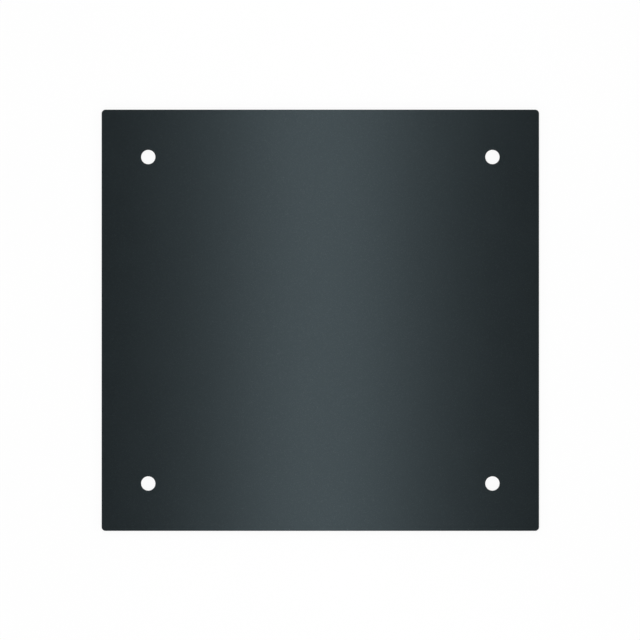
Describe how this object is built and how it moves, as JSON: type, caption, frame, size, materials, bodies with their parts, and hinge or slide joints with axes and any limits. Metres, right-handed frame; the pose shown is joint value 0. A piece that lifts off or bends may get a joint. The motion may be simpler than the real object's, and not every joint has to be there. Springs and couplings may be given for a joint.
{
  "type": "rectangular cover plate",
  "caption": "Flat rectangular cover plate of coated sheet steel, nearly square, with small round corners and a plain screw hole near each corner.",
  "frame": {"origin": "centre of the back face, which lies against what the plate covers", "axes": "+X along the longer side, +Y along the shorter side, +Z out of the front face"},
  "size_m": [0.168, 0.1618, 0.002],
  "materials": {
    "coating": "satin"
  },
  "bodies": {
    "root": {"cover_plate": "coating"}
  },
  "joints": []
}
